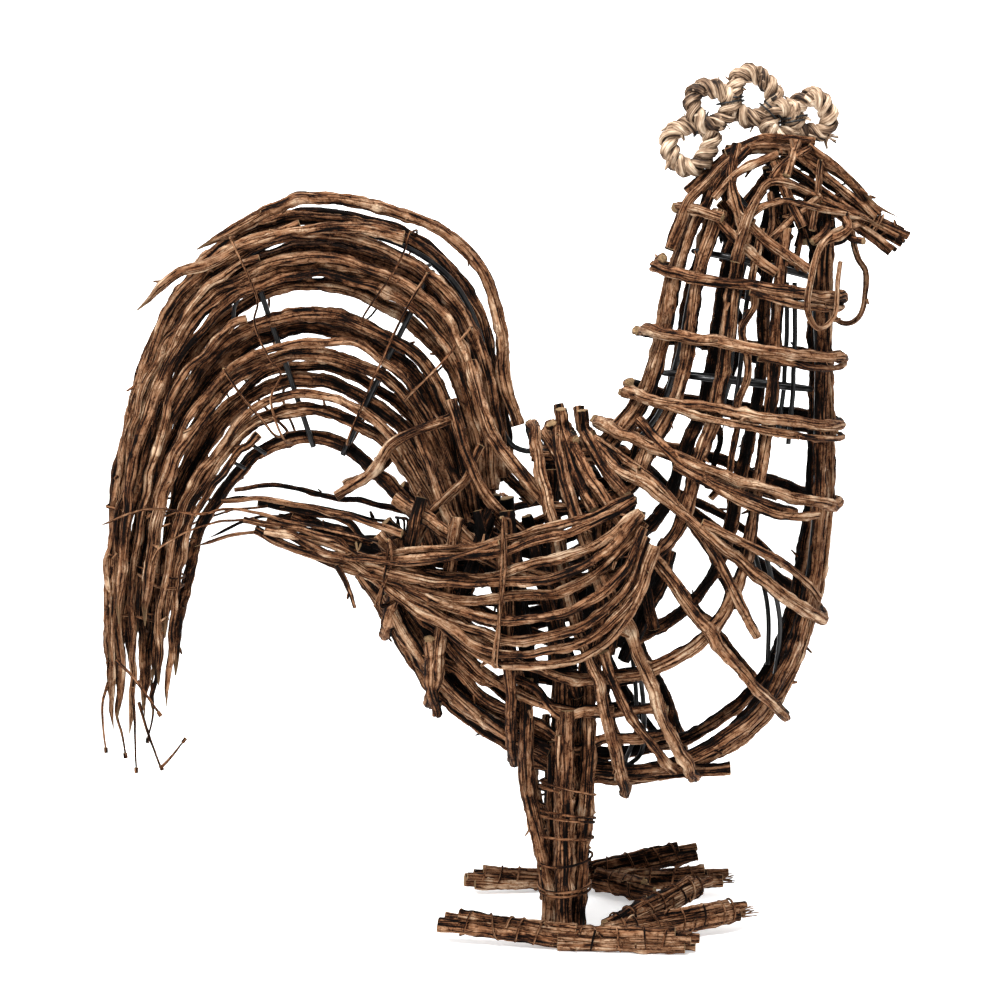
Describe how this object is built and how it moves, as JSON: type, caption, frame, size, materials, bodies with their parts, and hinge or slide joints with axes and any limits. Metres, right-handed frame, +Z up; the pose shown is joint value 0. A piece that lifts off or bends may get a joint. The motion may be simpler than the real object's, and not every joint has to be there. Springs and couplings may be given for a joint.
{
  "type": "woven twig rooster statue",
  "caption": "Standing rooster figure woven from vine twigs over a black wire frame, open like a cage, with an arched tail, folded wings and a comb of looped straw rope.",
  "frame": {"origin": "centre of the figure's box, on the floor it stands on", "axes": "+X forward, the way the beak points; +Y to the figure's left; +Z up"},
  "size_m": [0.4999, 0.1743, 0.5288],
  "materials": {
    "vine_bark": "rough brown vine bark with lengthwise ridges and dark cracks, pale cut ends",
    "black_wire": "smooth black coated steel wire",
    "straw_rope": "dull twisted straw rope"
  },
  "bodies": {
    "root": {"beak": "vine_bark", "brow_left": "vine_bark", "brow_right": "vine_bark", "comb": "straw_rope", "crown_left": "vine_bark", "crown_ridge": "vine_bark", "crown_right": "vine_bark", "foot_left": "vine_bark", "foot_right": "vine_bark", "hoop_1": "vine_bark", "hoop_10": "vine_bark", "hoop_11": "vine_bark", "hoop_2": "vine_bark", "hoop_3": "vine_bark", "hoop_4": "vine_bark", "hoop_5": "vine_bark", "hoop_6": "vine_bark", "hoop_7": "vine_bark", "hoop_8": "vine_bark", "hoop_9": "vine_bark", "leg_left": "vine_bark", "leg_right": "vine_bark", "plume_1": "vine_bark", "plume_10": "vine_bark", "plume_11": "vine_bark", "plume_2": "vine_bark", "plume_3": "vine_bark", "plume_4": "vine_bark", "plume_5": "vine_bark", "plume_6": "vine_bark", "plume_7": "vine_bark", "plume_8": "vine_bark", "plume_9": "vine_bark", "plume_crest": "vine_bark", "rib_left_1": "vine_bark", "rib_left_2": "vine_bark", "rib_right_1": "vine_bark", "rib_right_2": "vine_bark", "stake_keel": "vine_bark", "stake_left_1": "vine_bark", "stake_left_2": "vine_bark", "stake_left_3": "vine_bark", "stake_left_4": "vine_bark", "stake_left_5": "vine_bark", "stake_right_1": "vine_bark", "stake_right_2": "vine_bark", "stake_right_3": "vine_bark", "stake_right_4": "vine_bark", "stake_right_5": "vine_bark", "wattle_left": "vine_bark", "wattle_right": "vine_bark", "wing_left": "vine_bark", "wing_right": "vine_bark", "wire_back": "black_wire", "wire_keel": "black_wire", "wire_neck_ring_lower": "black_wire", "wire_neck_ring_upper": "black_wire", "wire_strut_front": "black_wire", "wire_strut_rear": "black_wire"}
  },
  "joints": []
}
